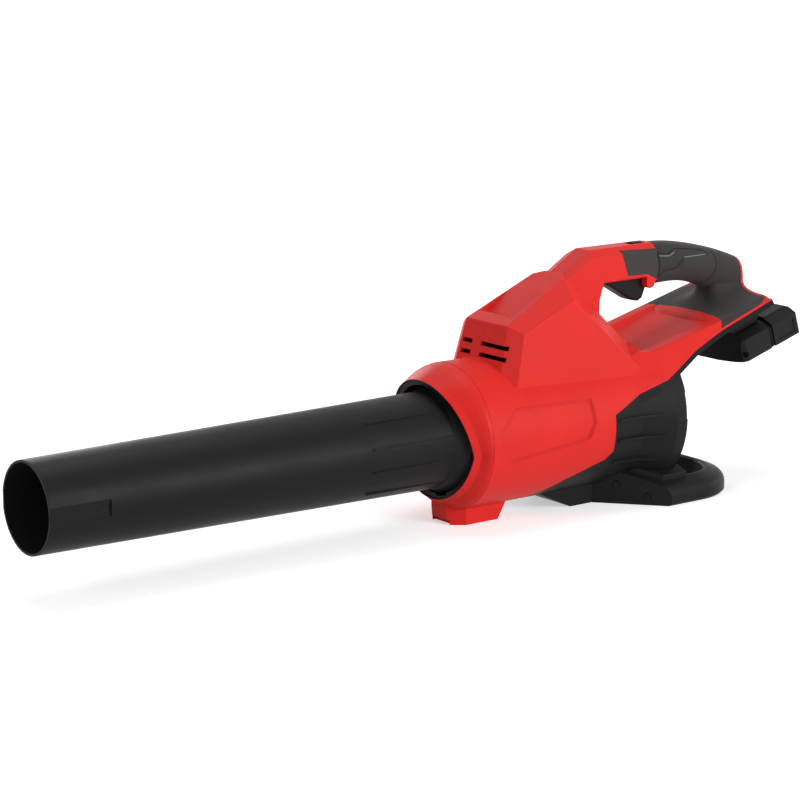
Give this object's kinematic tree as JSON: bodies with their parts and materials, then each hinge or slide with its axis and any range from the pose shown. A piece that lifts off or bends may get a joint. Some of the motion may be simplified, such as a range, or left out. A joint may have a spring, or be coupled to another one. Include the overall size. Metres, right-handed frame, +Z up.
{
  "type": "handheld leaf blower",
  "caption": "Handheld battery leaf blower, tool only, with a long round tube, looped handle, flared rear intake and an open dock for battery packs.",
  "frame": {"origin": "middle of the length and width, on the ground that foot and base stand on", "axes": "-X towards the tube mouth, +X towards the battery dock, -Y the side shown nearest in the picture, +Z up"},
  "size_m": [0.9292, 0.191, 0.269],
  "materials": {
    "red_plastic": "moulded, satin",
    "black_plastic": "moulded, fine grain",
    "dark_plastic": "moulded",
    "soft_grip": "soft overmould",
    "pad_plastic": "soft pad",
    "fan_plastic": "glass filled",
    "soft_rubber": "plain",
    "aluminium": "cast",
    "core_steel": "laminated",
    "copper": "lacquered",
    "magnet": "plated",
    "steel": "ground",
    "screw_steel": "blackened",
    "board": "lacquered",
    "capacitor": "sleeved"
  },
  "bodies": {
    "housing": {"base": "black_plastic", "base_screws": "screw_steel", "battery_dock": "black_plastic", "bearing_front": "steel", "bearing_rear": "steel", "bumper": "black_plastic", "capacitors": "capacitor", "control_board": "board", "cowl_left": "black_plastic", "cowl_right": "black_plastic", "dock_screws": "screw_steel", "duct_ring_front": "soft_rubber", "duct_ring_rear": "soft_rubber", "electronics_tray": "dark_plastic", "fan_duct_left": "dark_plastic", "fan_duct_right": "dark_plastic", "front_pad_left": "pad_plastic", "front_pad_right": "pad_plastic", "grip_cover_left": "soft_grip", "grip_cover_right": "soft_grip", "heat_sink": "aluminium", "housing_left": "red_plastic", "housing_right": "red_plastic", "housing_screws": "screw_steel", "intake_guard": "black_plastic", "lock_spring": "steel", "motor_cup": "dark_plastic", "motor_end_plate": "aluminium", "motor_screws": "screw_steel", "outlet_cone": "dark_plastic", "sensor_board": "board", "stator_coils": "copper", "stator_core": "core_steel", "terminal_blades_left": "copper", "terminal_blades_right": "copper", "terminal_block_left": "dark_plastic", "terminal_block_right": "dark_plastic", "tray_screws": "screw_steel", "trigger_pin": "steel", "trigger_spring": "steel", "tube_seal": "soft_rubber", "tube_socket": "black_plastic"},
    "rotor": {"fan": "fan_plastic", "fan_washer": "steel", "fan_nut": "steel", "motor_shaft": "steel", "rotor_core": "core_steel", "rotor_magnets": "magnet"},
    "trigger": {"trigger": "black_plastic", "trigger_magnet": "magnet"},
    "lock": {"lock_button": "black_plastic"},
    "tube": {"nozzle_tube": "black_plastic"}
  },
  "joints": [
    {"name": "fan_spin", "type": "hinge", "parent": "housing", "child": "rotor", "pos_m": [0.1754, 0, 0.0905], "axis": [1, 0, 0], "continuous": true},
    {"name": "trigger_pull", "type": "hinge", "parent": "housing", "child": "trigger", "pos_m": [0.2384, 0, 0.2425], "axis": [0, -1, 0], "range_deg": [0, 11], "stiffness_Nm_per_rad": 1.2, "springref_deg": -5.73, "deforming": ["trigger_spring"]},
    {"name": "lock_press", "type": "slide", "parent": "housing", "child": "lock", "axis": [0, 0, -1], "range_m": [0, 0.0025], "stiffness_N_per_m": 1500, "springref_m": -0.001, "deforming": ["lock_spring"]},
    {"name": "tube_twist", "type": "hinge", "parent": "housing", "child": "tube", "pos_m": [0.0244, 0, 0.0905], "axis": [1, 0, 0], "range_deg": [0, 40]}
  ]
}
